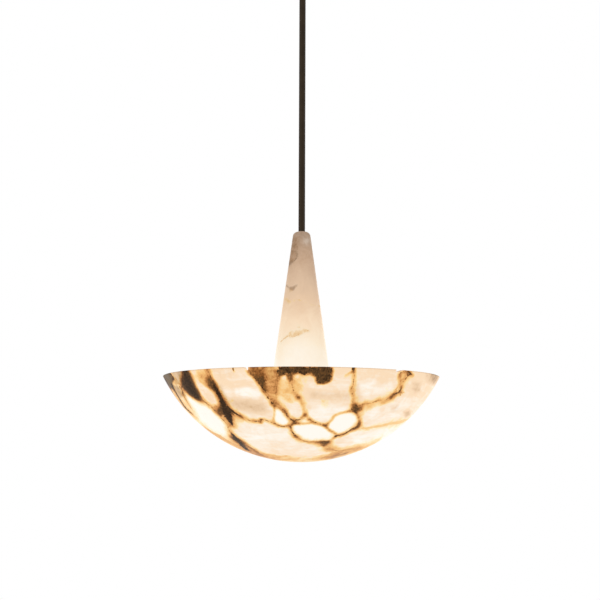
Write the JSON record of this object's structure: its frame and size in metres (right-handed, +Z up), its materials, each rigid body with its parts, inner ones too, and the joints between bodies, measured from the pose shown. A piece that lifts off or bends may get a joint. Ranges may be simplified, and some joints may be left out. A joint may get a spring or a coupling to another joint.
{
  "type": "bowl pendant light",
  "caption": "Stone bowl pendant: a translucent bowl under a tall tapered stone cone, hung by a slim dark rod from a canopy with a hinged swivel.",
  "frame": {"origin": "centre of the crossbar's top face, which lies on the ceiling box", "axes": "+Z up along the rod and the stem, +X along the crossbar's slots, -Y towards the viewer of the picture"},
  "size_m": [0.508, 0.508, 1.0582],
  "materials": {
    "alabaster": "polished, translucent",
    "bronze_paint": "satin dark bronze",
    "zinc_steel": "zinc plated",
    "green_screw": "green dyed",
    "rubber_gasket": "matte",
    "white_ceramic": "glazed",
    "socket_brass": "bright",
    "lamp_base_metal": "bright",
    "lamp_plastic": "matte",
    "frosted_globe": "frosted"
  },
  "bodies": {
    "ceiling_mount": {"crossbar": "zinc_steel", "earth_screw": "green_screw", "ceiling_nipple": "zinc_steel", "crossbar_locknut": "zinc_steel", "canopy": "bronze_paint", "canopy_ring": "bronze_paint", "swivel_collar": "bronze_paint"},
    "swivel": {"swivel_yoke": "bronze_paint", "swivel_pin": "bronze_paint", "swivel_washers": "bronze_paint"},
    "pendant": {"swivel_tongue": "bronze_paint", "upper_rod": "bronze_paint", "rod_joiner": "zinc_steel", "lower_rod": "bronze_paint", "centre_stem": "zinc_steel", "rod_locknut": "zinc_steel", "stone_cone": "alabaster", "cone_gasket": "rubber_gasket", "cone_gallery": "bronze_paint", "gallery_locknuts": "zinc_steel", "cluster_body": "zinc_steel", "cluster_cover": "zinc_steel", "cluster_locknuts": "zinc_steel", "clamp_locknut": "zinc_steel", "clamp_plate": "zinc_steel", "bowl_inner_gasket": "rubber_gasket", "stone_bowl": "alabaster", "bowl_outer_gasket": "rubber_gasket", "cap_nut": "bronze_paint", "lamp_arm_1": "zinc_steel", "lampholder_1": "white_ceramic", "holder_locknut_1": "zinc_steel", "socket_shell_1": "socket_brass", "lamp_base_1": "lamp_base_metal", "lamp_body_1": "lamp_plastic", "lamp_globe_1": "frosted_globe", "lamp_arm_2": "zinc_steel", "lampholder_2": "white_ceramic", "holder_locknut_2": "zinc_steel", "socket_shell_2": "socket_brass", "lamp_base_2": "lamp_base_metal", "lamp_body_2": "lamp_plastic", "lamp_globe_2": "frosted_globe", "lamp_arm_3": "zinc_steel", "lampholder_3": "white_ceramic", "holder_locknut_3": "zinc_steel", "socket_shell_3": "socket_brass", "lamp_base_3": "lamp_base_metal", "lamp_body_3": "lamp_plastic", "lamp_globe_3": "frosted_globe", "lamp_arm_4": "zinc_steel", "lampholder_4": "white_ceramic", "holder_locknut_4": "zinc_steel", "socket_shell_4": "socket_brass", "lamp_base_4": "lamp_base_metal", "lamp_body_4": "lamp_plastic", "lamp_globe_4": "frosted_globe"}
  },
  "joints": [
    {"name": "swivel_turn", "type": "hinge", "parent": "ceiling_mount", "child": "swivel", "pos_m": [0, 0, -0.0416], "axis": [0, 0, 1], "range_deg": [-175, 175]},
    {"name": "swivel_tilt", "type": "hinge", "parent": "swivel", "child": "pendant", "pos_m": [0, 0, -0.0596], "axis": [0, 1, 0], "range_deg": [-45, 45]}
  ]
}
